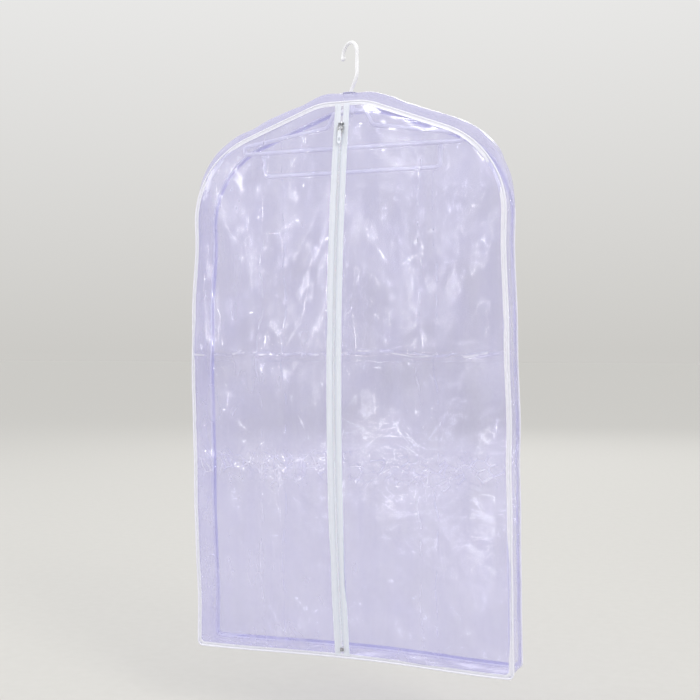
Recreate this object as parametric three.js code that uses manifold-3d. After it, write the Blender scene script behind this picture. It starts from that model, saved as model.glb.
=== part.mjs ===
// A clear, zipped garment bag hanging from a two-bar clothes hanger with a swivel hook.
// Millimetres. The origin is the underside of the hook's crown, where a rail bears. +Z is up and the zip
// faces -Y, so that the bag's left side, seen from the front, is at -X.

import * as THREE from "three";
import { mergeVertices } from "three/addons/utils/BufferGeometryUtils.js";
import Module from "manifold-3d";

const wasm = await Module();
wasm.setup();

// ---- Driving dimensions ----------------------------------------------------------------------------

const GAP = 0.3; // clearance between pieces that touch
const FILM = 1; // thickness that stands for the thin film

// Bag
const BAG_WIDTH = 610;
const BAG_HEIGHT = 1016;
const GUSSET_DEPTH = 75;
const BAG_TOP = -90; // crest of the film, where the hook comes out
const NECK_BULGE = 21.5; // how far the gusset arches above its seams at the neck
const SIDE_BULGE = 3; // and how far it arches down the sides
const NECK_HALF = 45; // level stretch of the seam on each side of the neck
const SHOULDER_SLOPE = THREE.MathUtils.degToRad(20.5);
const SHOULDER_RADIUS = 170;
const CORNER_RADIUS = 8; // bottom corners
const FRONT_BOW = 45; // how far the zip stands forward of the seams at mid height
const HOOK_HOLE = 10.8; // radius of the hole in the crest
const EYELET = { lip: 2, rim: 4.7, flange: 1.5, grip: 2.4 }; // how it reaches in, out and along the hole
const PIPING = 4; // width and depth of the piping on the seams
const HINGE_GAP = 1.8; // from the piping to the front film, which turns past it

// Zip
const TAPE_INNER = 3.3;
const TAPE_OUTER = 14;
const COIL_INNER = GAP / 2;
const COIL_OUTER = 3;
const FILM_INNER = 6.5; // edge of the front film, behind the tape
const SLIDER_Z = -163; // slider's centre when the zip is closed
const SLIDER = { half: 7, top: 5.75, bottom: 4.7, front: 1.6, back: 1.3, shoulder: 2, pinUp: 3.4 };
const LUG = { inner: 2.2, outer: 3.4, half: 1.5, over: 1.3 }; // they hold the pull's pin
const LIP = { inner: 3.7, outer: 4.5, clear: 0.4 }; // the slider's turned-in edges, beside the tapes
const PIN = 0.6; // radius of the pull's pin
const PULL = { length: 28, half: 3.4, neck: 1.8, tip: 1.6, thickness: 1.2, barrel: 1.6 };
const PULL_HOLE = { half: 1.4, top: -17, bottom: -23 };
const TOP_STOP = { inner: 0.6, outer: 5.2, height: 4, above: 1.5, wall: 0.3 };
const BOTTOM_STOP = { top: -1086, height: 6, stand: 0.6 };

// Hanger
const ROD = 4; // radius of the hanger's rods
const HOOK_ROD = 3.4;
const HOOK_INNER = 18; // inner radius of the hook's crown
const HOOK_TURN = THREE.MathUtils.degToRad(-34); // how far the hook is swivelled out of the hanger's plane
const ARM_Z = -122; // arms where they leave the boss
const UPPER_BAR_Z = -188;
const LOWER_BAR_Z = -232;
const HANGER_HALF = 210;
const DROP_HALF = 170;

// ---- Worked out from them --------------------------------------------------------------------------

const FRONT_Y = -GUSSET_DEPTH / 2; // middle of the front film at its seams
const BACK_Y = GUSSET_DEPTH / 2;
const SEAM_TOP = BAG_TOP - NECK_BULGE - FILM / 2;
const SEAM_BOTTOM = BAG_TOP - BAG_HEIGHT + PIPING / 2;
const SEAM_HALF = BAG_WIDTH / 2 - SIDE_BULGE - FILM / 2;
const PANEL_INSET = PIPING / 2 + HINGE_GAP;

// The shoulder's arc touches the sloping seam and the straight side.
const SHOULDER_X = SEAM_HALF - SHOULDER_RADIUS;
const SHOULDER_Z =
  SEAM_TOP -
  (SHOULDER_RADIUS - Math.sin(SHOULDER_SLOPE) * (NECK_HALF - SHOULDER_X)) / Math.cos(SHOULDER_SLOPE);
const SHOULDER_START = SHOULDER_Z + SHOULDER_RADIUS * Math.cos(SHOULDER_SLOPE);

// The zip lies on a circle in the YZ plane, through the seams at the top and bottom of the front.
const ARC_Z = (SEAM_TOP + SEAM_BOTTOM) / 2;
const ARC_HALF = (SEAM_TOP - SEAM_BOTTOM) / 2;
const ARC_RADIUS = ARC_HALF ** 2 / (2 * FRONT_BOW) + FRONT_BOW / 2;
const ARC_Y = FRONT_Y - FRONT_BOW + ARC_RADIUS;

// Layers of the zip from front to back, where the bow is nil
const TAPE_Y = [FRONT_Y - 1.8, FRONT_Y - 0.8];
const COIL_Y = [FRONT_Y - 2.8, FRONT_Y + 0.2];
const ZIP_TOP = SEAM_TOP - PIPING / 2 - 2 * GAP;
const ZIP_BOTTOM = SEAM_BOTTOM + PIPING / 2 + 2 * GAP;
const COIL_TOP = SLIDER_Z + 2.5; // inside the slider, where the two halves part

// The slider's plates, and the middle of the pull's pin
const SLIDER_FRONT = COIL_Y[0] - 0.4;
const SLIDER_BACK = COIL_Y[1] + 0.4;
const PIN_Y = SLIDER_FRONT - SLIDER.pinUp;

const HOOK_LINE = HOOK_INNER + HOOK_ROD; // radius of the crown's middle line
const BOSS = { top: -103.3, bottom: -127, radius: 9, bore: 4.2 };

// ---- Materials -------------------------------------------------------------------------------------

const finish = (color, roughness, metalness = 0, opacity = 1) =>
  new THREE.MeshStandardMaterial({ color, roughness, metalness, opacity, transparent: opacity < 1 });
const film = finish(0xdcdaf2, 0.12, 0, 0.35);
const piping = finish(0xf4f3f8, 0.35);
const hangerPlastic = finish(0xf1f1f4, 0.3);
const tapeFabric = finish(0xd9e2ea, 0.8);
const coilPlastic = finish(0xe6ebf0, 0.45);
const metal = finish(0x8b8d94, 0.35, 0.9);
const pullLacquer = finish(0xcdd1de, 0.4, 0.5);

// ---- Small tools -----------------------------------------------------------------------------------

// A closed geometry as a manifold solid, for joining and cutting.
function solid(geometry) {
  const bare = new THREE.BufferGeometry();
  bare.setAttribute("position", geometry.getAttribute("position"));
  bare.setIndex(geometry.getIndex());
  const welded = mergeVertices(bare, 1e-3);
  return new wasm.Manifold(
    new wasm.Mesh({
      numProp: 3,
      vertProperties: welded.getAttribute("position").array,
      triVerts: new Uint32Array(welded.getIndex().array),
    }),
  );
}

function geometryOf(manifold) {
  const { vertProperties, triVerts } = manifold.getMesh();
  const geometry = new THREE.BufferGeometry();
  geometry.setAttribute("position", new THREE.BufferAttribute(vertProperties, 3));
  geometry.setIndex(new THREE.BufferAttribute(triVerts, 1));
  geometry.computeVertexNormals();
  return geometry;
}

const join = (...pieces) => geometryOf(pieces.map(solid).reduce((whole, piece) => whole.add(piece)));
const cut = (body, tool) => geometryOf(solid(body).subtract(solid(tool)));

// A box between two corners.
function block([x0, y0, z0], [x1, y1, z1]) {
  const box = new THREE.BoxGeometry(x1 - x0, y1 - y0, z1 - z0);
  return box.translate((x0 + x1) / 2, (y0 + y1) / 2, (z0 + z1) / 2);
}

// A cylinder about the Z axis, or about the line along X through (0, y, 0).
function uprightCylinder(radius, z0, z1, sides = 24) {
  const cylinder = new THREE.CylinderGeometry(radius, radius, z1 - z0, sides);
  return cylinder.rotateX(Math.PI / 2).translate(0, 0, (z0 + z1) / 2);
}

function crossCylinder(radius, halfLength, y, sides = 16) {
  const cylinder = new THREE.CylinderGeometry(radius, radius, 2 * halfLength, sides);
  return cylinder.rotateZ(Math.PI / 2).translate(0, y, 0);
}

// A flat plate: an outline of [x, z] points, between the planes y0 and y1.
function plate(outline, y0, y1) {
  const shape = new THREE.Shape(outline.map(([x, z]) => new THREE.Vector2(x, z)));
  const geometry = new THREE.ExtrudeGeometry(shape, { depth: y1 - y0, bevelEnabled: false });
  return geometry.rotateX(Math.PI / 2).translate(0, y1, 0);
}

// A round rod along a path.
function rod(path, radius, steps, sides = 8) {
  const section = new THREE.Shape().absarc(0, 0, radius, 0, 2 * Math.PI);
  return new THREE.ExtrudeGeometry(section, { steps, extrudePath: path, curveSegments: sides / 2 });
}

// A path of straight runs through [x, z] points in the y = 0 plane, with rounded corners.
function roundedPath(points, radius) {
  const path = new THREE.CurvePath();
  const corners = points.map(([x, z]) => new THREE.Vector3(x, 0, z));
  const offCorner = (corner, other) =>
    corner.clone().add(other.clone().sub(corner).setLength(radius));
  let from = corners[0];
  for (let i = 1; i < corners.length - 1; i += 1) {
    const before = offCorner(corners[i], corners[i - 1]);
    const after = offCorner(corners[i], corners[i + 1]);
    path.add(new THREE.LineCurve3(from, before));
    path.add(new THREE.QuadraticBezierCurve3(before, corners[i], after));
    from = after;
  }
  path.add(new THREE.LineCurve3(from, corners.at(-1)));
  return path;
}

// A unit box cut into a grid and bent into place: place(x, y, z) takes each corner, 0 to 1 each way.
function bentBox([nx, ny, nz], place) {
  const geometry = new THREE.BoxGeometry(1, 1, 1, nx, ny, nz);
  const position = geometry.getAttribute("position");
  for (let i = 0; i < position.count; i += 1) {
    const corner = [position.getX(i), position.getY(i), position.getZ(i)].map((value) => value + 0.5);
    position.setXYZ(i, ...place(...corner));
  }
  geometry.computeVertexNormals();
  return geometry;
}

// Points with no step longer than `step` between them.
function subdivided(points, step) {
  const fine = [points[0]];
  for (let i = 1; i < points.length; i += 1) {
    const [a, b] = [points[i - 1], points[i]];
    const parts = Math.ceil(Math.hypot(b[0] - a[0], b[1] - a[1]) / step);
    for (let k = 1; k <= parts; k += 1) {
      fine.push([a[0] + ((b[0] - a[0]) * k) / parts, a[1] + ((b[1] - a[1]) * k) / parts]);
    }
  }
  return fine;
}

// ---- The bag's shape -------------------------------------------------------------------------------

// Right half of the seam line as [x, z], moved out by `offset`: from the top centre along the neck, down
// the shoulder and the side, round the bottom corner and back to the bottom centre at x = `centre`.
function seamLine(offset, centre = 0) {
  const path = new THREE.Path();
  path.moveTo(centre, SEAM_TOP + offset);
  path.lineTo(NECK_HALF + offset * Math.tan(SHOULDER_SLOPE / 2), SEAM_TOP + offset);
  path.absarc(SHOULDER_X, SHOULDER_Z, SHOULDER_RADIUS + offset, Math.PI / 2 - SHOULDER_SLOPE, 0, true);
  const cornerX = SEAM_HALF - CORNER_RADIUS;
  const cornerZ = SEAM_BOTTOM + CORNER_RADIUS;
  path.absarc(cornerX, cornerZ, CORNER_RADIUS + offset, 0, -Math.PI / 2, true);
  path.lineTo(centre, SEAM_BOTTOM - offset);
  return path.getPoints(4).map(({ x, y }) => [x, y]);
}

// Half the width between the seams at a height.
function seamHalfAt(z) {
  if (z >= SHOULDER_START) return NECK_HALF + (SEAM_TOP - z) / Math.tan(SHOULDER_SLOPE);
  if (z <= SHOULDER_Z) return SEAM_HALF;
  return SHOULDER_X + Math.sqrt(SHOULDER_RADIUS ** 2 - (z - SHOULDER_Z) ** 2);
}

// How far the front stands forward of its seams: an arc down the middle, easing to nil at the sides.
function bow(x, z) {
  const middle = Math.sqrt(ARC_RADIUS ** 2 - (z - ARC_Z) ** 2) - (ARC_RADIUS - FRONT_BOW);
  const flat = TAPE_OUTER + 2;
  const out = Math.max(0, Math.abs(x) - flat) / (seamHalfAt(z) - flat);
  return Math.max(0, middle) * Math.cos((Math.min(1, out) * Math.PI) / 2);
}

// A strip of the front that follows the bow: a row for each [outer x, z], from the inner x outwards.
function frontStrip(rows, inner, [y0, y1], columns) {
  return bentBox([columns, 1, rows.length - 1], (across, through, up) => {
    const [outer, z] = rows[Math.round((1 - up) * (rows.length - 1))];
    const x = THREE.MathUtils.lerp(inner, outer, across);
    return [x, THREE.MathUtils.lerp(y0, y1, through) - bow(x, z), z];
  });
}

const ZIP_ROW = 30;
const zipRows = (outer, top, bottom) => subdivided([[outer, top], [outer, bottom]], ZIP_ROW);

function frontPanel() {
  const outline = seamLine(-PANEL_INSET).slice(1, -1);
  const faces = [FRONT_Y - FILM / 2, FRONT_Y + FILM / 2];
  return frontStrip(subdivided(outline, 55), FILM_INNER, faces, 6);
}

function backPanel() {
  const right = seamLine(-PANEL_INSET);
  const left = right.slice(1, -1).reverse();
  const outer = BACK_Y + PIPING / 2 + 0.1;
  return plate([...right, ...left.map(([x, z]) => [-x, z])], outer - FILM, outer);
}

// How far the gusset arches out between its seams, at a height.
function gussetBulge(z) {
  const shoulder = THREE.MathUtils.smoothstep(z, SHOULDER_Z, SHOULDER_START - 20);
  const bottom = THREE.MathUtils.smoothstep(z, SEAM_BOTTOM + CORNER_RADIUS, SEAM_BOTTOM + 60);
  return (SIDE_BULGE + (NECK_BULGE - SIDE_BULGE) * shoulder) * bottom;
}

// Half of the strip that joins the front to the back: over the shoulder, down the side, round the corner.
function gusset() {
  const halfDepth = GUSSET_DEPTH / 2 - PIPING / 2 - GAP;
  const inside = subdivided(seamLine(-FILM / 2, GAP / 2).slice(0, -1), 120);
  const outside = subdivided(seamLine(FILM / 2, GAP / 2).slice(0, -1), 120);
  const strip = bentBox([1, 8, inside.length - 1], (through, across, up) => {
    const row = Math.round((1 - up) * (inside.length - 1));
    const [[xIn, zIn], [xOut, zOut]] = [inside[row], outside[row]];
    const y = THREE.MathUtils.lerp(-halfDepth, halfDepth, across);
    const arch = (gussetBulge(zIn) * (1 - (y / halfDepth) ** 4)) / FILM;
    const out = through + arch;
    return [xIn + (xOut - xIn) * out, y, zIn + (zOut - zIn) * out];
  });
  return cut(strip, uprightCylinder(HOOK_HOLE, BAG_TOP - 10, BAG_TOP + 10));
}

function bottomPanel() {
  const halfWidth = SEAM_HALF - CORNER_RADIUS - GAP;
  const halfDepth = GUSSET_DEPTH / 2 - PIPING / 2 - GAP;
  return block(
    [-halfWidth, -halfDepth, SEAM_BOTTOM - FILM / 2],
    [halfWidth, halfDepth, SEAM_BOTTOM + FILM / 2],
  );
}

// Half of a ring of piping, centred on the plane y.
function pipingHalf(y) {
  const outside = seamLine(PIPING / 2, GAP / 2);
  const inside = seamLine(-PIPING / 2, GAP / 2).reverse();
  return plate([...outside, ...inside], y - PIPING / 2, y + PIPING / 2);
}

// A grommet that grips the rim of the hole in the crest.
function hookEyelet() {
  const inner = HOOK_HOLE - EYELET.lip;
  const barrel = HOOK_HOLE - 2 * GAP;
  const rim = HOOK_HOLE + EYELET.rim;
  const above = BAG_TOP + GAP;
  const below = BAG_TOP - EYELET.grip;
  const profile = [
    [inner, below - EYELET.flange],
    [rim, below - EYELET.flange],
    [rim, below],
    [barrel, below],
    [barrel, above],
    [rim, above],
    [rim, above + EYELET.flange],
    [inner, above + EYELET.flange],
    [inner, below - EYELET.flange],
  ];
  const points = profile.map(([r, z]) => new THREE.Vector2(r, z));
  return new THREE.LatheGeometry(points, 24).rotateX(Math.PI / 2);
}

// ---- The zip ---------------------------------------------------------------------------------------

// A C-shaped clip on the inner edge of a tape, just above the slider.
function topStop() {
  const z0 = SLIDER_Z + SLIDER.half + TOP_STOP.above;
  const z1 = z0 + TOP_STOP.height;
  const [front, back] = COIL_Y.map((y) => y - bow(0, z1));
  const [tapeFront, tapeBack] = TAPE_Y.map((y) => y - bow(0, z1));
  const { inner, outer, wall } = TOP_STOP;
  const clip = block([inner, front - wall, z0], [outer, back + wall, z1]);
  const slot = block(
    [TAPE_INNER - GAP, tapeFront - 2 * GAP, z0 - 1],
    [outer + 1, tapeBack + 2 * GAP, z1 + 1],
  );
  return cut(clip, slot);
}

function bottomStop() {
  const [front, back] = COIL_Y.map((y) => y - bow(0, BOTTOM_STOP.top));
  const half = TAPE_INNER - GAP;
  return block(
    [-half, front - BOTTOM_STOP.stand, BOTTOM_STOP.top - BOTTOM_STOP.height],
    [half, back + BOTTOM_STOP.stand, BOTTOM_STOP.top],
  );
}

// A closed outline that is the same on both sides of x = 0, from its right half.
const mirrored = (right) => [...right, ...right.map(([x, z]) => [-x, z]).reverse()];

// The slider and its pull stand upright about z = 0 here, with y as on a front without a bow.
function sliderOutline(inset) {
  const top = SLIDER.top - inset;
  const bottom = SLIDER.bottom - inset;
  return mirrored([
    [top - SLIDER.shoulder, SLIDER.half],
    [top, SLIDER.half - SLIDER.shoulder],
    [bottom, 1 - SLIDER.half],
    [bottom - 1, -SLIDER.half],
  ]);
}

function sliderBody() {
  const sunk = 0.5; // how far each piece runs into the plate it stands on
  const [lipBottom, lipTop] = [1.5 - SLIDER.half, SLIDER.half - 2];
  const pieces = [
    plate(sliderOutline(0), SLIDER_FRONT - SLIDER.front, SLIDER_FRONT),
    plate(sliderOutline(GAP), SLIDER_BACK, SLIDER_BACK + SLIDER.back),
    block([-2, SLIDER_FRONT - sunk, 3], [2, SLIDER_BACK + sunk, SLIDER.half - 0.6]),
    crossCylinder(PIN, LUG.outer - 0.4, PIN_Y),
  ];
  for (const side of [1, -1]) {
    const between = ({ inner, outer }) => (side > 0 ? [inner, outer] : [-outer, -inner]);
    const [lug0, lug1] = between(LUG);
    const [lip0, lip1] = between(LIP);
    pieces.push(
      block([lug0, PIN_Y - LUG.over, -LUG.half], [lug1, SLIDER_FRONT - 1, LUG.half]),
      block([lip0, SLIDER_FRONT - sunk, lipBottom], [lip1, TAPE_Y[0] - LIP.clear, lipTop]),
      block([lip0, TAPE_Y[1] + LIP.clear, lipBottom], [lip1, SLIDER_BACK + sunk, lipTop]),
    );
  }
  return join(...pieces);
}

// The pull hangs from the slider's pin: a barrel, a narrow neck, and a tab with a hole near its end.
function pullTab() {
  const faces = [PIN_Y - PULL.thickness / 2, PIN_Y + PULL.thickness / 2];
  const outline = mirrored([
    [PULL.neck, 0],
    [PULL.neck, -4],
    [PULL.half, -6.5],
    [PULL.half, 3 - PULL.length],
    [PULL.tip, -PULL.length],
  ]);
  const opening = mirrored([
    [PULL_HOLE.half, PULL_HOLE.bottom],
    [PULL_HOLE.half, PULL_HOLE.top],
  ]);
  const hole = plate(opening, faces[0] - 1, faces[1] + 1);
  const tab = join(plate(outline, ...faces), crossCylinder(PULL.barrel, PULL.neck, PIN_Y));
  return cut(cut(tab, hole), crossCylinder(PIN + GAP, 3, PIN_Y));
}

// ---- The hanger ------------------------------------------------------------------------------------

// The hook stands in the XZ plane here: tip, crown, shank swept back to the axis, and straight stem.
function hook() {
  const crownZ = -HOOK_INNER;
  const point = (x, z) => new THREE.Vector3(x, 0, z);
  const crown = new THREE.Path().absarc(0, crownZ, HOOK_LINE, Math.PI, 0, true).getPoints(12);
  const shank = new THREE.CubicBezierCurve3(
    point(HOOK_LINE, -50),
    point(HOOK_LINE, -76),
    point(0, -74),
    point(0, BOSS.top + 3),
  );
  const stations = [
    point(-HOOK_LINE - 1, crownZ - 19),
    ...crown.map(({ x, y }) => point(x, y)),
    ...shank.getPoints(10),
    point(0, BOSS.bottom - 5),
  ];
  const path = new THREE.CatmullRomCurve3(stations, false, "centripetal");
  const flange = uprightCylinder(7, BOSS.top + GAP, BOSS.top + 3);
  const head = uprightCylinder(5.5, BOSS.bottom - 5, BOSS.bottom - GAP);
  return join(rod(path, HOOK_ROD, 60, 10), flange, head);
}

// Arms with strap notches, their rounded ends and the upper trouser bar, in one moulding.
function hangerFrame() {
  const half = roundedPath(
    [
      [0, ARM_Z],
      [30, ARM_Z],
      [43, ARM_Z - 27],
      [HANGER_HALF, UPPER_BAR_Z + 13.8],
      [HANGER_HALF, UPPER_BAR_Z],
      [-1, UPPER_BAR_Z],
    ],
    6.5,
  );
  const right = rod(half, ROD, 72);
  const left = right.clone().rotateZ(Math.PI);
  const boss = uprightCylinder(BOSS.radius, BOSS.bottom, BOSS.top);
  return cut(join(right, left, boss), uprightCylinder(BOSS.bore, BOSS.bottom - 9, BOSS.top + 9));
}

function dropBar() {
  const top = UPPER_BAR_Z - ROD - GAP;
  const corners = [
    [-DROP_HALF, top],
    [-DROP_HALF, LOWER_BAR_Z],
    [DROP_HALF, LOWER_BAR_Z],
    [DROP_HALF, top],
  ];
  return rod(roundedPath(corners, 12), ROD, 50);
}

// ---- Assembly --------------------------------------------------------------------------------------

const garmentBag = new THREE.Group();

function add(name, geometry, material, parent = garmentBag) {
  const mesh = new THREE.Mesh(geometry, material);
  mesh.name = name;
  parent.add(mesh);
  return mesh;
}

// A right-hand piece and its mirror image.
function addPair(name, geometry, material) {
  add(`${name}_right`, geometry, material);
  add(`${name}_left`, geometry, material).scale.x = -1;
}

add("hook", hook(), hangerPlastic).rotation.z = HOOK_TURN;
add("hanger_frame", hangerFrame(), hangerPlastic);
add("hanger_drop_bar", dropBar(), hangerPlastic);

add("back_panel", backPanel(), film);
add("bottom_panel", bottomPanel(), film);
add("hook_eyelet", hookEyelet(), piping);
addPair("gusset", gusset(), film);
addPair("piping_front", pipingHalf(FRONT_Y), piping);
addPair("piping_back", pipingHalf(BACK_Y - 0.2), piping);

addPair("front_panel", frontPanel(), film);
const tapeRows = zipRows(TAPE_OUTER, ZIP_TOP, ZIP_BOTTOM);
addPair("zip_tape", frontStrip(tapeRows, TAPE_INNER, TAPE_Y, 1), tapeFabric);
const coilRows = zipRows(COIL_OUTER, COIL_TOP, BOTTOM_STOP.top + GAP);
addPair("zip_coil", frontStrip(coilRows, COIL_INNER, COIL_Y, 1), coilPlastic);
addPair("zip_top_stop", topStop(), metal);
add("zip_bottom_stop", bottomStop(), metal);

// The slider and its pull ride round the circle that the zip lies on.
const carriage = new THREE.Group();
carriage.position.set(0, ARC_Y, ARC_Z);
carriage.rotation.x = -Math.asin((SLIDER_Z - ARC_Z) / ARC_RADIUS);
garmentBag.add(carriage);
add("zip_slider", sliderBody(), metal, carriage).position.y = -ARC_Y - FRONT_BOW;
add("zip_pull", pullTab(), pullLacquer, carriage).position.y = -ARC_Y - FRONT_BOW;

export default garmentBag;
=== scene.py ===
"""Looks of a clear, zipped garment bag on a clothes hanger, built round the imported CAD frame.

Metres, in the CAD's frame: the origin is the underside of the hook's crown, +Z is up and the zip
faces -Y. The film panels are cut a little larger than the gaps that they span and settled by cloth
simulation, then creased where the bag was folded for storage.
"""

import math

import bpy
import numpy as np
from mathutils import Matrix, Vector, noise


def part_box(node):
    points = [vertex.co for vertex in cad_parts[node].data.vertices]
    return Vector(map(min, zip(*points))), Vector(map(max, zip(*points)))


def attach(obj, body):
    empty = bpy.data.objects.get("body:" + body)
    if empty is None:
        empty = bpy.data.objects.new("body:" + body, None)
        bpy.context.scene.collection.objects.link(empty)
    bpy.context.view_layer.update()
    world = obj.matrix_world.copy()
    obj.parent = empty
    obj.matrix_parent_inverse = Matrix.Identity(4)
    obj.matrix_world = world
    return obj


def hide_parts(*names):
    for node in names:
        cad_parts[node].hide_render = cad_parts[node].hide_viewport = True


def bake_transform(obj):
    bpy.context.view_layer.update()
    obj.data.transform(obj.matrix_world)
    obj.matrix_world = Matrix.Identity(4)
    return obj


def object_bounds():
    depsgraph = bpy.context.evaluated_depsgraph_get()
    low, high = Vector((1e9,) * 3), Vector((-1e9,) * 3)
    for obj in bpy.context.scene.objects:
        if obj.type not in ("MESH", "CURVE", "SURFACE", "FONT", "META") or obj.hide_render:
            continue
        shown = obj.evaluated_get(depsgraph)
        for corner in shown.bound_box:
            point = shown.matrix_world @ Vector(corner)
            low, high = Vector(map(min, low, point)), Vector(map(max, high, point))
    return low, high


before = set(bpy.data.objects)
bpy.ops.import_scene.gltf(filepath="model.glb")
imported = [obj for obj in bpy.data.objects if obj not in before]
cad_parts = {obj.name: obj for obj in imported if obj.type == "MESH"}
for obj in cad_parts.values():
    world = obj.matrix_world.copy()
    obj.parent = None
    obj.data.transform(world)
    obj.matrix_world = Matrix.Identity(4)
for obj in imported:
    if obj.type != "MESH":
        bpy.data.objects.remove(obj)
CAD_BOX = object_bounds()

# ---- Sizes taken from the frame ----

MM = 0.001

piping_low, piping_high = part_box("piping_front_right")
PIPING = piping_high[1] - piping_low[1]
FRONT_Y = (piping_low[1] + piping_high[1]) / 2
BACK_Y = sum(corner[1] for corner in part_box("piping_back_right")) / 2
SEAM_HALF = piping_high[0] - PIPING / 2
SEAM_TOP = piping_high[2] - PIPING / 2
SEAM_BOTTOM = piping_low[2] + PIPING / 2
HEIGHT = SEAM_TOP - SEAM_BOTTOM
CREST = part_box("gusset_right")[1][2]

tape_low, tape_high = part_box("zip_tape_right")
coil_low, coil_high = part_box("zip_coil_right")
EYELET_LOW, EYELET_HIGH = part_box("hook_eyelet")

# ---- Sizes repeated from the CAD ----

NECK_HALF = 45 * MM
SHOULDER_SLOPE = math.radians(20.5)
SHOULDER_RADIUS = 170 * MM
CORNER_RADIUS = 8 * MM
FRONT_BOW = 45 * MM
SIDE_BULGE = 3 * MM
TAPE_INNER = 3.3 * MM
TAPE_OUTER = 14 * MM
FILM_INNER = 6.5 * MM
HOOK_HOLE = 10.8 * MM

ROD = 4 * MM
HOOK_ROD = 3.4 * MM
HOOK_INNER = 18 * MM
HOOK_TURN = math.radians(-34)
ARM_Z = -122 * MM
ARM_LEVEL = 30 * MM  # the arms run level this far out from the boss
NOTCH_X = 43 * MM  # then drop to the notch for a strap
NOTCH_DROP = 27 * MM
END_RISE = 13.8 * MM  # height of the arms' ends above the upper bar
END_RADIUS = 6.5 * MM
UPPER_BAR_Z = -188 * MM
LOWER_BAR_Z = -232 * MM
LOWER_BAR_RADIUS = 12 * MM
HANGER_HALF = 210 * MM
DROP_HALF = 170 * MM
BOSS_TOP = -103.3 * MM
BOSS_BOTTOM = -127 * MM

# ---- Looks ----

FILM_STEP = 8 * MM  # spacing of the film's vertices before they are subdivided
FILM_EDGE = 0.6 * MM  # how far inside the seam the film is cut
FILM_WAVE = 2.2 * MM  # unevenness of the film before it settles
SPARE_WIDTH = 0.012  # how much larger the film is cut than the gap that it spans
SPARE_HEIGHT = 0.006
SETTLE_FRAMES = 26
CLOTH_SETTINGS = {
    "quality": 7,
    "mass": 0.012,
    "air_damping": 3,
    "tension_stiffness": 18,
    "compression_stiffness": 18,
    "shear_stiffness": 9,
    "bending_stiffness": 1.2,
}
PUFF = 5 * MM  # how far the film swells just inside a seam
PUFF_WIDTH = 22 * MM
BACK_SWELL = 3 * MM
NECK_RADIUS = 110 * MM  # eases the seam from the neck into the shoulder
GUSSET_STEP = 6 * MM
GUSSET_COLUMNS = 17
GUSSET_DENT = 1.2 * MM

FOLD_Z = CREST - 0.465 * (CREST - SEAM_BOTTOM)  # the bag was folded in half across here
FOLD_X = SEAM_HALF / 2  # and upright along here, left and right
FOLD_WIDTH = 8 * MM
FOLD_RISE = 4.6 * MM
UPRIGHT_RISE = 1.3 * MM
BAND_Z = CREST - 0.67 * (CREST - SEAM_BOTTOM)  # middle of a band crinkled in storage
BAND_CORE = 6 * MM  # half the band's height at full strength
BAND_HALF = 34 * MM  # and with its fading
BAND_RISE = 4.4 * MM
SLACK_RISE = 2.4 * MM  # slow waves below the shoulders
PULL_RISE = 1.8 * MM  # slanting pulls below the fold
GATHER_RISE = 1.3 * MM  # small gathers along the seams
GATHER_WIDTH = 22 * MM

NARROWING = 8 * MM  # how far the hanging bag draws in at each shoulder
LEFT_DRIFT, RIGHT_DRIFT = 13 * MM, 5 * MM  # how far each low corner hangs to the right
LEFT_SAG, RIGHT_SAG = 3 * MM, 9 * MM  # and below its place
SAG_HEIGHT = 350 * MM  # the sag grows over this much of the bag's foot
SIDE_RIPPLE = 1.6 * MM
SIDE_SWAY = 3 * MM

PIPING_STEP = 5 * MM
PIPING_SIDES = 12
FLANGE_STEP = 8 * MM
FLANGE_PROFILE = [(1, 0.0), (3, 0.9), (5, 0.9), (7, 0.35)]  # mm in from the seam, mm off the film
STITCH = 2.7 * MM
STITCH_PITCH = 3.5 * MM
STITCH_RADIUS = 0.32 * MM
STITCH_INSET = 4.2 * MM  # from the seam, along the middle of the piping's flat edge
STITCH_STEP = 4 * MM

TAPE_PROFILE = [  # mm from the middle of the zip, mm forward
    (2.0, -0.2), (3.4, 0.35), (5.0, 0.6), (7.0, 1.0), (10.0, 1.15), (13.0, 0.95), (14.0, 0.25),
]
TAPE_THICKNESS = 0.5 * MM
TAPE_ROWS = (0.42, 0.8)  # where the tape is sewn, as shares of its width
COIL_PITCH = 2.4 * MM
COIL_WIRE = 0.45 * MM
COIL_MIDDLE = (1.05 * MM, 1.7 * MM)  # across from the zip's middle, and forward of the film's line
COIL_REACH = (1.5 * MM, 0.93 * MM)  # half the coil's width and depth
STOP_SIDES = 28
STOP_PROFILE = [  # height and girth as shares of the clip's half size
    (-1, 0.8), (-0.85, 0.97), (-0.4, 1), (0, 0.88), (0.4, 1), (0.85, 0.97), (1, 0.8),
]
EDGE_BEVEL = 0.22 * MM

TURNED_SIDES = 32
BAR_STEP = 2 * MM
HOOK_VOXEL = 0.55 * MM
HANGER_VOXEL = 1.0 * MM
HOOK_TIP = math.pi + 0.35
HOOK_BEAD = (3.5 * MM, 3.2 * MM, 0.28)  # place, half length and swelling of the bead at the tip
HOOK_SHANK = [(1, -50 * MM), (1, -76 * MM), (0, -74 * MM), (0, BOSS_TOP + 3 * MM)]  # [share of reach, z]
HOOK_FLANGE = [(4, 0.3), (7, 0.3), (7, 2.1), (3, 5.3)]  # mm radius, mm above the boss
HOOK_HEAD = [(3.6, -5), (5.4, -1.9), (5.4, -0.3)]  # mm radius, mm above the boss's underside
BOSS_PROFILE = [
    (7.4 * MM, BOSS_BOTTOM),
    (9 * MM, BOSS_BOTTOM + 1.5 * MM),
    (9 * MM, BOSS_TOP - 3 * MM),
    (6.6 * MM, BOSS_TOP),
]
BRACE = [(6 * MM, ARM_Z + 6 * MM), (22 * MM, ARM_Z + 1 * MM)]  # from the boss to an arm, as [x, z]
BRACE_RADIUS = 2.2 * MM
LINK_FOOT = (5 * MM, 5 * MM)  # radius and height of the collar at a link's top
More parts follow.
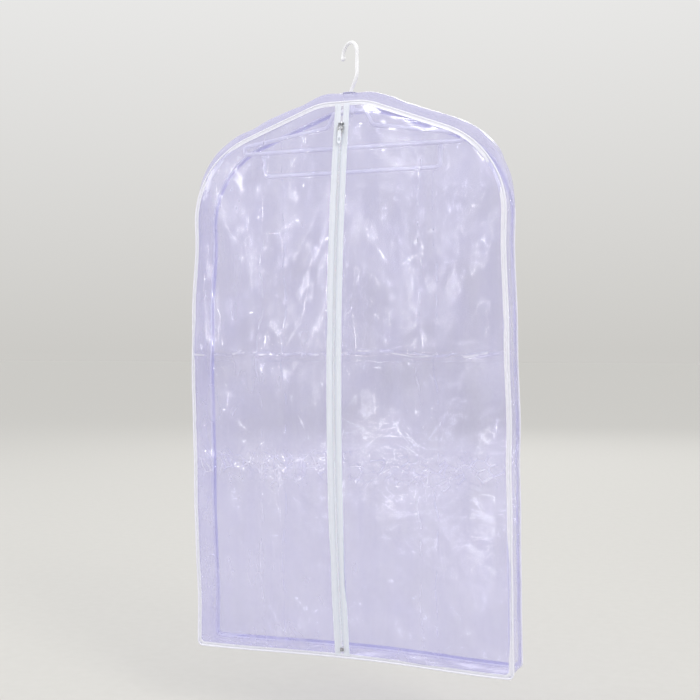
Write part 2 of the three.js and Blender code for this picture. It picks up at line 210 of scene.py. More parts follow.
EYELET_INNER = 8.8 * MM
EYELET_SIDES = 40

CAMERA_AZIMUTH = math.radians(20)
CAMERA_DISTANCE = 2.05
CAMERA_HEIGHT = -0.555
LENS = 58
LIGHT_TARGET = (0, 0, -0.5)
FLOOR_Z = CAD_BOX[0][2] - 0.14
FLOOR_HALF = 60  # far enough for its edge to pass for the horizon

# ---- Camera and light ----

scene = bpy.context.scene


def polar(azimuth, distance, height):
    """A point round the Z axis: azimuth 0 is in front of the zip, and it grows to the right."""
    return Vector((math.sin(azimuth) * distance, -math.cos(azimuth) * distance, height))


def look_at(thing, target):
    thing.rotation_euler = (Vector(target) - thing.location).to_track_quat("-Z", "Y").to_euler()


camera = bpy.data.objects.new("camera", bpy.data.cameras.new("camera"))
camera.location = polar(CAMERA_AZIMUTH, CAMERA_DISTANCE, CAMERA_HEIGHT)
camera.data.lens = LENS
look_at(camera, (0, 0, CAMERA_HEIGHT))
scene.collection.objects.link(camera)
scene.camera = camera


def softbox(name, azimuth, distance, height, size, watts, colour=(1, 1, 1), glint=False):
    """A soft light on the bag; a glint is seen only where the film mirrors it."""
    light = bpy.data.lights.new(name, "AREA")
    light.shape = "RECTANGLE"
    light.size, light.size_y = size
    light.energy = watts
    light.color = colour
    lamp = bpy.data.objects.new(name, light)
    lamp.location = polar(math.radians(azimuth), distance, height)
    look_at(lamp, LIGHT_TARGET)
    lamp.visible_diffuse = not glint
    scene.collection.objects.link(lamp)


softbox("key", 52, 5.2, 2.2, (1.6, 2.4), 95, (1, 0.99, 0.97))
softbox("left_key", -70, 5.2, 1.8, (1.4, 2.4), 65, (0.97, 0.98, 1))
softbox("back_fill", 190, 6.4, 2.8, (2.4, 2.4), 55)
softbox("left_strip", -36, 3.6, 0.1, (0.05, 1.6), 18, glint=True)
softbox("middle_strip", -16, 3.6, 0.1, (0.035, 1.6), 14, glint=True)
softbox("right_strip", 9, 3.6, 0.2, (0.05, 1.6), 12, glint=True)
softbox("top_strip", -4, 2.6, 2.3, (1.9, 0.42), 80, glint=True)
softbox("floor_strip", -10, 3.0, -1.15, (1.2, 0.10), 8, glint=True)


def studio_world(horizon, overhead):
    """Even light from all round that brightens from the horizon upwards."""
    world = bpy.data.worlds.new("studio")
    world.use_nodes = True
    tree = world.node_tree
    direction = tree.nodes.new("ShaderNodeTexCoord").outputs["Generated"]
    parts = tree.nodes.new("ShaderNodeSeparateXYZ")
    rise = tree.nodes.new("ShaderNodeMapRange")
    mix = tree.nodes.new("ShaderNodeMix")
    mix.data_type = "RGBA"
    mix.inputs[6].default_value = (*horizon, 1)
    mix.inputs[7].default_value = (*overhead, 1)
    rise.inputs["From Max"].default_value = 0.5
    tree.links.new(direction, parts.inputs[0])
    tree.links.new(parts.outputs["Z"], rise.inputs["Value"])
    tree.links.new(rise.outputs["Result"], mix.inputs[0])
    tree.links.new(mix.outputs[2], tree.nodes["Background"].inputs["Color"])
    scene.world = world


studio_world((0.605, 0.595, 0.57), (0.95, 0.95, 0.95))
scene.view_settings.view_transform = "Standard"

# ---- Materials ----


class Shader:
    """A new material whose surface is one Principled shader, with a short call that adds a node."""

    def __init__(self, name, **inputs):
        self.material = bpy.data.materials.new(name)
        self.material.use_nodes = True
        self.tree = self.material.node_tree
        self.principled = self.tree.nodes["Principled BSDF"]
        self.output = self.tree.nodes["Material Output"]
        self.fill(self.principled, inputs)

    def fill(self, node, inputs):
        for name, value in inputs.items():
            socket = node.inputs[name if isinstance(name, int) else name.replace("_", " ")]
            if isinstance(value, bpy.types.NodeSocket):
                self.tree.links.new(value, socket)
            else:
                socket.default_value = value

    def node(self, kind, inputs, **settings):
        node = self.tree.nodes.new("ShaderNode" + kind)
        for name, value in settings.items():
            setattr(node, name, value)
        self.fill(node, inputs)
        return node

    def place(self, scale=(1, 1, 1), uv=False):
        """Metres over the piece, or along its cloth when uv is true, stretched by scale."""
        source = self.node("TexCoord", {}).outputs["UV" if uv else "Object"]
        return self.node("Mapping", {"Vector": source, "Scale": scale}).outputs["Vector"]

    def noise(self, where, scale, detail=3.0, roughness=0.5, distortion=0.0):
        inputs = {"Vector": where, "Scale": scale, "Detail": detail}
        inputs |= {"Roughness": roughness, "Distortion": distortion}
        return self.node("TexNoise", inputs).outputs["Fac"]

    def wave(self, where, scale, direction="X", distortion=0.0):
        inputs = {"Vector": where, "Scale": scale, "Distortion": distortion}
        settings = {"wave_type": "BANDS", "bands_direction": direction}
        return self.node("TexWave", inputs, **settings).outputs["Fac"]

    def math(self, operation, first, second=0.0, clamp=False):
        node = self.node("Math", {0: first, 1: second}, operation=operation, use_clamp=clamp)
        return node.outputs[0]

    def ramp(self, value, low, high, to_low=0.0, to_high=1.0):
        """Maps value from low..high to to_low..to_high, smoothly and within them."""
        inputs = {"Value": value, "From_Min": low, "From_Max": high}
        inputs |= {"To_Min": to_low, "To_Max": to_high}
        return self.node("MapRange", inputs, interpolation_type="SMOOTHSTEP").outputs["Result"]

    def colours(self, value, low, high):
        node = self.node("Mix", {}, data_type="RGBA")
        self.fill(node, {0: value, 6: (*low, 1), 7: (*high, 1)})
        return node.outputs[2]

    def bump(self, height, distance, strength=1.0, under=None):
        inputs = {"Height": height, "Distance": distance, "Strength": strength}
        if under is not None:
            inputs["Normal"] = under
        return self.node("Bump", inputs).outputs["Normal"]

    def finish(self, **inputs):
        self.fill(self.principled, inputs)
        return self.material


def painted_fold_highlights(film, cloth):
    """Painted highlights that stand in for glints and reflections: along the storage folds and over the
    crinkled band, from 0 to 1.
    """

    def distance(value, line):
        return film.math("ABSOLUTE", film.math("SUBTRACT", value, line))

    place = film.node("SeparateXYZ", {0: cloth}).outputs
    wobble = film.math("MULTIPLY", film.math("SUBTRACT", film.noise(cloth, 9, 2), 0.5), 40 * MM)
    across = distance(film.math("ADD", place["Y"], wobble), FOLD_Z)
    side = film.math("ABSOLUTE", film.math("ADD", place["X"], wobble))
    upright = distance(side, FOLD_X)
    edges = film.node("TexVoronoi", {"Vector": cloth, "Scale": 42}, feature="DISTANCE_TO_EDGE")
    crinkles = film.ramp(edges.outputs[0], 0.01, 0.07, 0.75, 0)
    band = film.ramp(distance(place["Y"], BAND_Z), 8 * MM, 42 * MM, 1, 0)
    painted_highlights = film.math("MULTIPLY", crinkles, band)
    painted_highlights = film.math("MAXIMUM", film.ramp(upright, 0.4 * MM, 2 * MM, 0.6, 0), painted_highlights)
    painted_highlights = film.math("MAXIMUM", film.ramp(across, 0.6 * MM, 3 * MM, 1, 0), painted_highlights)
    return film.math("MULTIPLY", painted_highlights, film.ramp(film.noise(cloth, 38, 3), 0.42, 0.62, 0.1, 1))


def film_material():
    """Soft vinyl film: glossy and crinkled, hazed lavender in patches and faint hanging streaks, with
    painted highlights along the storage folds and the crinkled band.
    """
    film = Shader("film", IOR=1.75, Coat_Weight=0.6, Coat_Roughness=0.04)
    cloth = film.place(uv=True)
    patches = film.noise(cloth, 11, 4)
    streaks = film.noise(film.place((34, 2.2, 1), uv=True), 1, 3)
    haze = film.math("ADD", film.math("MULTIPLY", patches, 0.6), film.math("MULTIPLY", streaks, 0.4))
    # painted highlights: the film's colour is lightened towards white along the folds and over the crinkled
    # band
    painted_highlights = painted_fold_highlights(film, cloth)
    haze_and_painted_highlights = film.math("MAXIMUM", film.ramp(haze, 0.3, 0.7, 0, 0.6), painted_highlights)
    colour = film.colours(haze_and_painted_highlights, (0.655, 0.635, 0.95), (0.86, 0.85, 1.0))
    crinkle = film.node("TexVoronoi", {"Vector": cloth, "Scale": 26}, feature="SMOOTH_F1")
    ripples = film.bump(film.noise(cloth, 14, 2, 0.5, 0.6), 7 * MM, 0.6)
    creased = film.bump(crinkle.outputs["Distance"], 3.5 * MM, 0.4, ripples)
    normal = film.bump(film.noise(cloth, 90, 4, 0.6), 0.5 * MM, 0.35, creased)
    film.finish(Base_Color=colour, Roughness=film.ramp(patches, 0.35, 0.7, 0.10, 0.22), Normal=normal)
    film.finish(Coat_Normal=normal)
    edge_on = film.node("LayerWeight", {"Blend": 0.35, "Normal": normal}).outputs["Facing"]
    opacity = film.ramp(haze, 0.32, 0.66, 0.11, 0.27)
    opacity = film.math("ADD", opacity, film.math("MULTIPLY", edge_on, 0.45))
    # the painted highlights also make the film more opaque there
    opacity = film.math("ADD", opacity, film.math("MULTIPLY", painted_highlights, 0.3))
    clear = film.node("BsdfTransparent", {"Color": (0.905, 0.9, 0.99, 1)})
    mixed = film.node("MixShader", {0: film.math("MINIMUM", opacity, 0.95)})
    film.fill(mixed, {1: clear.outputs[0], 2: film.principled.outputs[0]})
    film.tree.links.new(mixed.outputs[0], film.output.inputs["Surface"])
    return film.material


def piping_material():
    """White vinyl wrapped round a cord."""
    vinyl = Shader("piping_vinyl", Coat_Weight=0.25, Coat_Roughness=0.2)
    cloth = vinyl.place(uv=True)
    lay = vinyl.wave(vinyl.place((1, 0.35, 1), uv=True), 90, "DIAGONAL", 1.5)
    mottle = vinyl.noise(cloth, 120, 3)
    normal = vinyl.bump(mottle, 0.3 * MM, 0.4, vinyl.bump(lay, 0.25 * MM, 0.5))
    colour = vinyl.colours(mottle, (0.74, 0.74, 0.84), (0.86, 0.86, 0.94))
    roughness = vinyl.ramp(mottle, 0.3, 0.7, 0.28, 0.45)
    return vinyl.finish(Base_Color=colour, Roughness=roughness, Normal=normal)


def plastic_material():
    """Moulded white plastic with a fine orange-peel skin and a few scuffs."""
    plastic = Shader("hanger_plastic", Coat_Weight=0.15, Coat_Roughness=0.1)
    where = plastic.place()
    peel = plastic.noise(where, 420, 2)
    scuffs = plastic.noise(plastic.place((60, 60, 9)), 1, 5, 0.7, 1.0)
    colour = plastic.colours(plastic.ramp(scuffs, 0.45, 0.75), (0.93, 0.93, 0.96), (0.82, 0.82, 0.86))
    roughness = plastic.ramp(scuffs, 0.4, 0.75, 0.26, 0.48)
    return plastic.finish(Base_Color=colour, Roughness=roughness, Normal=plastic.bump(peel, 0.15 * MM, 0.3))


def tape_material():
    """Woven zip tape: ribs along its length crossed by fine picks."""
    tape = Shader("zip_tape", Roughness=0.85, Sheen_Weight=0.35, Sheen_Roughness=0.4)
    cloth = tape.place(uv=True)
    ribs = tape.wave(cloth, 340, "X", 0.2)
    picks = tape.wave(cloth, 260, "Y", 0.4)
    weave = tape.math("MULTIPLY", ribs, picks)
    soiling = tape.math("MULTIPLY", tape.noise(cloth, 70, 3), 0.45)
    shade = tape.math("ADD", tape.math("MULTIPLY", weave, 0.55), soiling)
    colour = tape.colours(shade, (0.74, 0.78, 0.88), (0.90, 0.92, 0.99))
    return tape.finish(Base_Color=colour, Normal=tape.bump(weave, 0.25 * MM, 0.6))


def coil_material():
    """Drawn nylon, a little uneven from tooth to tooth."""
    nylon = Shader("zip_coil", Roughness=0.38, Subsurface_Weight=0.1, Subsurface_Scale=0.001)
    where = nylon.place()
    tooth = nylon.noise(where, 300, 2)
    colour = nylon.colours(tooth, (0.80, 0.83, 0.91), (0.92, 0.94, 0.99))
    return nylon.finish(Base_Color=colour, Normal=nylon.bump(nylon.noise(where, 1500, 2), 0.1 * MM, 0.3))


def metal_material(name, lacquer, rubbed, metallic):
    """Lacquered die-casting, rubbed bright along its edges."""
    metal = Shader(name, Metallic=metallic)
    where = metal.place()
    edges = metal.ramp(metal.node("NewGeometry", {}).outputs["Pointiness"], 0.505, 0.56)
    grain = metal.noise(where, 900, 3, 0.6)
    worn = metal.math("MULTIPLY", edges, metal.ramp(grain, 0.35, 0.6), clamp=True)
    colour = metal.colours(worn, lacquer, rubbed)
    return metal.finish(
        Base_Color=colour,
        Roughness=metal.ramp(grain, 0.3, 0.7, 0.28, 0.46),
        Normal=metal.bump(grain, 0.06 * MM, 0.4),
    )


def thread_material():
    """Twisted polyester thread."""
    thread = Shader("thread", Roughness=0.6, Sheen_Weight=0.2)
    twist = thread.wave(thread.place(), 900, "DIAGONAL")
    colour = thread.colours(twist, (0.74, 0.76, 0.84), (0.93, 0.94, 0.97))
    return thread.finish(Base_Color=colour, Normal=thread.bump(twist, 0.1 * MM, 0.5))


def floor_material():
    floor = Shader("floor", Roughness=0.7)
    speckle = floor.noise(floor.place(), 40, 4)
    return floor.finish(Base_Color=floor.colours(speckle, (0.60, 0.59, 0.56), (0.64, 0.63, 0.60)))


FILM = film_material()
VINYL = piping_material()
PLASTIC = plastic_material()
TAPE = tape_material()
NYLON = coil_material()
METAL = metal_material("zip_metal", (0.16, 0.165, 0.18), (0.55, 0.55, 0.57), 0.8)
LACQUER = metal_material("pull_lacquer", (0.66, 0.69, 0.76), (0.42, 0.42, 0.44), 0.2)
THREAD = thread_material()

# ---- Mesh tools ----


def mesh_piece(name, points, faces, material, uv=None):
    """A smooth-shaded object; uv gives each point its place on the flat cloth, in metres."""
    mesh = bpy.data.meshes.new(name)
    mesh.from_pydata(np.asarray(points, float).tolist(), [], [list(map(int, face)) for face in faces])
    if uv is not None:
        layer = mesh.uv_layers.new(name="cloth")
        corners = np.zeros(len(mesh.loops), int)
        mesh.loops.foreach_get("vertex_index", corners)
        layer.data.foreach_set("uv", np.asarray(uv, np.float32)[corners].ravel())
    mesh.materials.append(material)
    mesh.shade_smooth()
    piece = bpy.data.objects.new(name, mesh)
    scene.collection.objects.link(piece)
    return piece


def grid_faces(rows, columns, closed_rows=False, closed_columns=False):
    """Quads over a grid of points stored row by row."""
    row, column = np.meshgrid(
        np.arange(rows if closed_rows else rows - 1),
        np.arange(columns if closed_columns else columns - 1),
        indexing="ij",
    )
    row, column = row.ravel(), column.ravel()
    below, beside = (row + 1) % rows, (column + 1) % columns
    corners = [(row, column), (below, column), (below, beside), (row, beside)]
    return np.stack([r * columns + c for r, c in corners], axis=1)


def end_caps(rows, columns):
    """The two faces that close the ends of a grid whose rows are rings."""
    return [list(range(columns)), list(range((rows - 1) * columns, rows * columns))[::-1]]


def lengths_along(points):
    """The distance along a line to each of its points."""
    steps = np.linalg.norm(np.diff(points, axis=0), axis=1)
    return np.concatenate([[0], np.cumsum(steps)])


def there_and_back(count, step):
    """How far each point of a closed ring is from its first, so that a pattern meets itself."""
    turn = np.arange(count)
    return np.minimum(turn, count - turn) * step


def resampled(points, count):
    """The same line with count points, evenly spaced along it."""
    points = np.asarray(points, float)
    along = lengths_along(points)
    even = np.linspace(0, along[-1], count)
    return np.stack([np.interp(even, along, column) for column in points.T], axis=1)


def tube(path, radius, sides, closed=False):
    """Points, faces and uv of a round tube along a path; radius may be one per point of the path."""
    path = np.asarray(path, float)
    count = len(path)
    if closed:
        ahead = np.roll(path, -1, axis=0) - np.roll(path, 1, axis=0)
    else:
        ahead = np.gradient(path, axis=0)
    ahead /= np.linalg.norm(ahead, axis=1)[:, None]
    side = np.cross(ahead[0], (0.0, 1.0, 0.0))
    if np.linalg.norm(side) < 0.1:
        side = np.cross(ahead[0], (1.0, 0.0, 0.0))
    sides_at = []
    for forward in ahead:
        side = side - forward * (side @ forward)
        side /= np.linalg.norm(side)
        sides_at.append(side)
    across = np.array(sides_at)
    up = np.cross(ahead, across)
    turn = np.linspace(0, 2 * math.pi, sides, endpoint=False)
    radius = np.broadcast_to(radius, count)[:, None, None]
    ring = across[:, None] * np.cos(turn)[None, :, None] + up[:, None] * np.sin(turn)[None, :, None]
    points = (path[:, None] + ring * radius).reshape(-1, 3)
    faces = grid_faces(count, sides, closed, True).tolist()
    if not closed:
        faces += end_caps(count, sides)
    along = lengths_along(path)
    if closed:
        along = there_and_back(count, along[-1] / (count - 1))
    uv = np.stack(np.meshgrid(turn * float(radius.max()), along), axis=-1).reshape(-1, 2)
    return points, faces, uv


def joined(parts):
    """Several (points, faces, uv) lists as one."""
    points, faces, uvs, first = [], [], [], 0
    for part_points, part_faces, part_uv in parts:
        points.append(part_points)
        uvs.append(part_uv)
        faces += [[corner + first for corner in face] for face in part_faces]
        first += len(part_points)
    return np.concatenate(points), faces, np.concatenate(uvs)


def apply_modifiers(piece):
    """Replaces the piece's mesh by what its modifiers show, and removes them."""
    shown = piece.evaluated_get(bpy.context.evaluated_depsgraph_get())
    mesh = bpy.data.meshes.new_from_object(shown)
    piece.modifiers.clear()
    piece.data = mesh
    return piece


def coordinates(mesh):
    flat = np.zeros(len(mesh.vertices) * 3, np.float32)
    mesh.vertices.foreach_get("co", flat)
    return flat.reshape(-1, 3).astype(float)


def set_coordinates(mesh, points):
    mesh.vertices.foreach_set("co", np.asarray(points, np.float32).ravel())
    mesh.update()


def wander(points, scale, seed):
    """Smooth noise from about -1 to 1 at each point."""
    shift = Vector((seed * 7.3, seed * 3.1, seed * 5.7))
    return np.array([noise.noise(Vector(point) * scale + shift) for point in points]) * 2


# ---- The bag's shape ----

SHOULDER_X = SEAM_HALF - SHOULDER_RADIUS
SHOULDER_Z = SEAM_TOP - (
    SHOULDER_RADIUS - math.sin(SHOULDER_SLOPE) * (NECK_HALF - SHOULDER_X)
) / math.cos(SHOULDER_SLOPE)
SHOULDER_START = SHOULDER_Z + SHOULDER_RADIUS * math.cos(SHOULDER_SLOPE)
CORNER_POINTS = 12
BOW_FLAT = TAPE_OUTER + 2 * MM  # the front is flat across the zip
ARC_Z = (SEAM_TOP + SEAM_BOTTOM) / 2
ARC_RADIUS = (HEIGHT / 2) ** 2 / (2 * FRONT_BOW) + FRONT_BOW / 2


def arc(centre, radius, start, end, count=40):
    """Points on an arc round centre, from one angle to another."""
    turn = np.linspace(start, end, count)
    return np.stack([centre[0] + radius * np.cos(turn), centre[1] + radius * np.sin(turn)], axis=1)


def seam_line(offset=0.0):
    """The right half of the seam as [x, z], moved out by offset: from the top centre, clockwise."""
    neck_x = NECK_HALF - NECK_RADIUS * math.tan(SHOULDER_SLOPE / 2)
    corner = (SEAM_HALF - CORNER_RADIUS, SEAM_BOTTOM + CORNER_RADIUS)
    lean = math.pi / 2 - SHOULDER_SLOPE
    return np.concatenate([
        [(0, SEAM_TOP + offset)],
        arc((neck_x, SEAM_TOP - NECK_RADIUS), NECK_RADIUS + offset, math.pi / 2, lean),
        arc((SHOULDER_X, SHOULDER_Z), SHOULDER_RADIUS + offset, lean, 0),
        arc(corner, CORNER_RADIUS + offset, 0, -math.pi / 2, CORNER_POINTS),
        [(0, SEAM_BOTTOM - offset)],
    ])


def seam_ring(offset, step):
    """The whole seam as a closed ring of [x, z] points about step apart."""
    right = seam_line(offset)
    count = round(lengths_along(right)[-1] / step)
    right = resampled(right, count)
    left = right[1:-1][::-1] * (-1, 1)
    return np.concatenate([right, left])


OUTLINE = seam_line()
OUTLINE_TOP = OUTLINE[: np.argmax(OUTLINE[:, 0]) + 1]


def top_of(x):
    """Height of the seam above a place across the front."""
    return np.interp(np.abs(x), OUTLINE_TOP[:, 0], OUTLINE_TOP[:, 1])


def half_at(z):
    """Half the width between the seams at a height."""
    return np.interp(-np.asarray(z), -OUTLINE_TOP[:, 1], OUTLINE_TOP[:, 0])


def bow(x, z):
    """How far the front stands forward of its seams."""
    z = np.asarray(z, float)
    middle = np.sqrt(np.maximum(0, ARC_RADIUS**2 - (z - ARC_Z) ** 2)) - (ARC_RADIUS - FRONT_BOW)
    out = np.maximum(0, np.abs(x) - BOW_FLAT) / np.maximum(half_at(z) - BOW_FLAT, MM)
    return np.maximum(0, middle) * np.cos(np.minimum(1, out) * math.pi / 2)


def smooth(value, low, high):
    """Rises smoothly from 0 at low to 1 at high."""
    share = np.clip((np.asarray(value, float) - low) / (high - low), 0, 1)
    return share * share * (3 - 2 * share)


def gusset_bulge(z):
    """How far the side strip stands out of the seam: a little at the sides, up to the crest on top."""
    shoulder = smooth(z, SHOULDER_Z, SHOULDER_START - 20 * MM)
    bottom = smooth(z, SEAM_BOTTOM + CORNER_RADIUS, SEAM_BOTTOM + 60 * MM)
    return (SIDE_BULGE + (CREST - SEAM_TOP - SIDE_BULGE) * shoulder) * bottom


# ---- Film ----

SIDE_ANGLE = math.radians(35)  # where a panel's grid turns from its top to its side


def cut_grid(inner):
    """The right half of a panel, from x = inner outwards, as a [row, column] grid of [x, z] points."""
    outline = seam_line(-FILM_EDGE)
    lean = np.array([math.cos(SIDE_ANGLE), math.sin(SIDE_ANGLE)])
    corner = np.array([SHOULDER_X, SHOULDER_Z]) + SHOULDER_RADIUS * lean
    turn = np.argmin(np.linalg.norm(outline - corner, axis=1))
    foot = len(outline) - 1 - CORNER_POINTS // 2
    top = outline[: turn + 1].copy()
    side = outline[turn : foot + 1]
    bottom = outline[foot:][::-1].copy()
    top[0, 0] = bottom[0, 0] = inner
    columns = round(lengths_along(top)[-1] / FILM_STEP)
    rows = round(HEIGHT / FILM_STEP)
    top, bottom = resampled(top, columns), resampled(bottom, columns)
    side = resampled(side, rows)
    middle = resampled([top[0], bottom[0]], rows)
    u = np.linspace(0, 1, columns)[None, :, None]
    v = np.linspace(0, 1, rows)[:, None, None]
    corners = (1 - u) * ((1 - v) * top[0] + v * bottom[0]) + u * ((1 - v) * top[-1] + v * bottom[-1])
    return (1 - v) * top[None] + v * bottom[None] + (1 - u) * middle[:, None] + u * side[:, None] - corners


def film_piece(name, flat, out, side_of, seed):
    """A film panel over a grid of flat [x, z] points; side_of(x, z) gives y, and out is -1 or 1."""
    rows, columns = flat.shape[:2]
    x, z = flat.reshape(-1, 2).T
    points = np.stack([x, side_of(x, z), z], axis=1)
    inside = np.zeros((rows, columns))
    inside[1:-1, 1:-1] = 1
    points[:, 1] += out * inside.ravel() * wander(points, 9, seed) * FILM_WAVE
    faces = grid_faces(rows, columns)
    piece = mesh_piece(name, points, faces if out < 0 else faces[:, ::-1], FILM, flat.reshape(-1, 2))
    piece["held"] = [int(i) for i in np.flatnonzero(inside.ravel() == 0)]
    return piece


def settle(pieces):
    """Cloth simulation of the film: each panel is held at its edges and cut with a little to spare."""
    for piece in pieces:
        held = piece.vertex_groups.new(name="held")
        held.add(list(piece["held"]), 1.0, "REPLACE")
        piece.shape_key_add(name="Basis")
        cut = piece.shape_key_add(name="cut")
        points = coordinates(piece.data)
        middle = (points.min(axis=0) + points.max(axis=0)) / 2
        spare = np.array([1 + SPARE_WIDTH, 1, 1 + SPARE_HEIGHT])
        cut.data.foreach_set("co", ((points - middle) * spare + middle).astype(np.float32).ravel())
        cloth = piece.modifiers.new("cloth", "CLOTH")
        for setting, value in CLOTH_SETTINGS.items():
            setattr(cloth.settings, setting, value)
        cloth.settings.vertex_group_mass = "held"
        cloth.settings.rest_shape_key = cut
        cloth.collision_settings.use_collision = False
        cloth.point_cache.frame_end = SETTLE_FRAMES
    for step in range(1, SETTLE_FRAMES + 1):
        scene.frame_set(step)
    shown = bpy.context.evaluated_depsgraph_get()
    settled = [coordinates(piece.evaluated_get(shown).data) for piece in pieces]
    for piece, points in zip(pieces, settled):
        piece.modifiers.clear()
        piece.shape_key_clear()
        piece.vertex_groups.clear()
        set_coordinates(piece.data, points)
    scene.frame_set(1)


def subdivide(piece):
    piece.modifiers.new("smooth", "SUBSURF").levels = 1
    return apply_modifiers(piece)


def crease(piece, out, seed):
    """Presses storage folds, a crinkled band and slack wrinkles into a settled panel."""
    points = coordinates(piece.data)
    x, z = points[:, 0], points[:, 2]
    gap = seam_gap(x, z)
    fade = smooth(gap, 4 * MM, 30 * MM)
    if out < 0:
        fade = fade * smooth(np.abs(x), 15 * MM, 38 * MM)  # the zip stays smooth
    drift = wander(points * (1, 0, 0.2), 7, seed) * 5 * MM
    fold = FOLD_RISE * np.exp(-np.abs(z - FOLD_Z - drift) / FOLD_WIDTH)
    band = smooth(BAND_HALF - np.abs(z - BAND_Z), 0, BAND_HALF - BAND_CORE)
    crinkles = BAND_RISE * band * np.abs(wander(points * (1, 0, 1.6), 34, seed + 1))
    upright = UPRIGHT_RISE * np.exp(-np.abs(np.abs(x) - FOLD_X - drift * 0.7) / FOLD_WIDTH)
    slack = SLACK_RISE * wander(points * (1, 0, 0.3), 16, seed + 2) * smooth(-z, -SHOULDER_Z, -SEAM_BOTTOM)
    slant = np.stack([x + 0.6 * z, 0 * x, 0.25 * z], axis=1)
    pulls = PULL_RISE * np.abs(wander(slant, 26, seed + 3)) * smooth(-z, -FOLD_Z, -SEAM_BOTTOM)
    gathers = GATHER_RISE * np.abs(wander(points, 60, seed + 4)) * np.exp(-gap / GATHER_WIDTH)
    points[:, 1] += out * fade * (fold + crinkles + upright + slack + pulls + gathers)
    set_coordinates(piece.data, points)


def seam_gap(x, z):
    """Roughly how far a place on a panel is from the nearest seam."""
    return np.minimum(half_at(z) - np.abs(x), np.minimum(top_of(x) - z, z - SEAM_BOTTOM))


def puff(x, z):
    """Film swells just inside a seam, which gathers it."""
    gap = np.maximum(seam_gap(x, z), 0)
    return PUFF * smooth(gap, 0, PUFF_WIDTH) * (1 - 0.6 * smooth(gap, PUFF_WIDTH, 4 * PUFF_WIDTH))


def front_y(x, z):
    """Where the front's film lies."""
    return FRONT_Y - bow(x, z) - puff(x, z) * smooth(np.abs(x), BOW_FLAT, 3 * BOW_FLAT)


def back_y(x, z):
    """Where the back's film lies."""
    share = np.clip(np.abs(x) / half_at(z), 0, 1)
    lift = smooth(top_of(x) - z, 0, 90 * MM) * smooth(z - SEAM_BOTTOM, 0, 90 * MM)
    return BACK_Y + BACK_SWELL * np.cos(share * math.pi / 2) * lift


front_cut = cut_grid(FILM_INNER)
back_half = cut_grid(0.0)
back_cut = np.concatenate([back_half[:, :0:-1] * (-1, 1), back_half], axis=1)
front_right = film_piece("front_film_right", front_cut, -1, front_y, 1)
front_left = film_piece("front_film_left", front_cut[:, ::-1] * (-1, 1), -1, front_y, 2)
back_film = film_piece("back_film", back_cut, 1, back_y, 3)


def gusset_piece():
    """The strip that joins the front to the back, all the way round, with the hook's hole in its crest."""
    ring = seam_ring(0, GUSSET_STEP)
    ahead = np.roll(ring, -1, axis=0) - np.roll(ring, 1, axis=0)
    outward = np.stack([-ahead[:, 1], ahead[:, 0]], axis=1)
    outward /= np.linalg.norm(outward, axis=1)[:, None]
    across = np.linspace(-1, 1, GUSSET_COLUMNS)
    half_depth = (BACK_Y - FRONT_Y) / 2 - FILM_EDGE
    middle_y = (BACK_Y + FRONT_Y) / 2
    rounding = 1 - across[None] ** 4
    arch = gusset_bulge(ring[:, 1])[:, None] * rounding
    xz = ring[:, None] + outward[:, None] * arch[..., None]
    y = np.broadcast_to(middle_y + across * half_depth, arch.shape)
    points = np.stack([xz[..., 0], y, xz[..., 1]], axis=-1).reshape(-1, 3)
    along = np.broadcast_to(there_and_back(len(ring), GUSSET_STEP)[:, None], arch.shape)
    uv = np.stack([y, along], axis=-1).reshape(-1, 2)
    inside = np.broadcast_to(rounding, arch.shape).ravel()
    dents = wander(points, 22, 5) * 1.3 + np.abs(wander(points * (1, 1.5, 0.7), 48, 6))
    inward = -np.repeat(np.insert(outward, 1, 0, axis=1), GUSSET_COLUMNS, axis=0)
    points += inward * (inside * dents * GUSSET_DENT)[:, None]
    faces = grid_faces(len(ring), GUSSET_COLUMNS, closed_rows=True)
    centres = points[faces].mean(axis=1)
    over_hook = (np.hypot(centres[:, 0], centres[:, 1]) < HOOK_HOLE) & (centres[:, 2] > SEAM_TOP)
    return mesh_piece("gusset_film", points, faces[~over_hook], FILM, uv)


gusset = gusset_piece()


def hang(piece):
    """Lets a soft piece hang a little askew: drawn in at the shoulders, and its low corners adrift."""
    points = coordinates(piece.data)
    x, z = points[:, 0].copy(), points[:, 2].copy()
    away = smooth(np.abs(x), 20 * MM, SEAM_HALF)
    low = smooth(-z, -FOLD_Z, -SEAM_BOTTOM)
    drawn_in = NARROWING * np.exp(-(((z - SHOULDER_Z + 20 * MM) / (130 * MM)) ** 2))
    ripple = SIDE_RIPPLE * wander(np.stack([np.sign(x), 0 * x, z], axis=1), 9, 41)
    drift = np.where(x < 0, LEFT_DRIFT, RIGHT_DRIFT) * low + ripple
    sway = SIDE_SWAY * wander(np.stack([x, 0 * x, z], axis=1), 5, 43) * smooth(-z, -SHOULDER_Z, -FOLD_Z)
    sag = np.where(x < 0, LEFT_SAG, RIGHT_SAG) * smooth(-z, -SEAM_BOTTOM - SAG_HEIGHT, -SEAM_BOTTOM)
    points[:, 0] += away * (drift - np.sign(x) * drawn_in)
    points[:, 1] += away * sway
    points[:, 2] -= away * sag
    set_coordinates(piece.data, points)


settle([front_right, front_left, back_film])
for panel, out, seed in [(front_right, -1, 11), (front_left, -1, 21), (back_film, 1, 31)]:
    subdivide(panel)
    crease(panel, out, seed)
subdivide(gusset)

# ---- Piping ----


def ring_line(offset, y_of, step):
    """A closed ring beside the seam that lies on the film; y_of(x, z) says where the film is."""
    ring = seam_ring(offset, step)
    return np.stack([ring[:, 0], y_of(*ring.T), ring[:, 1]], axis=1)


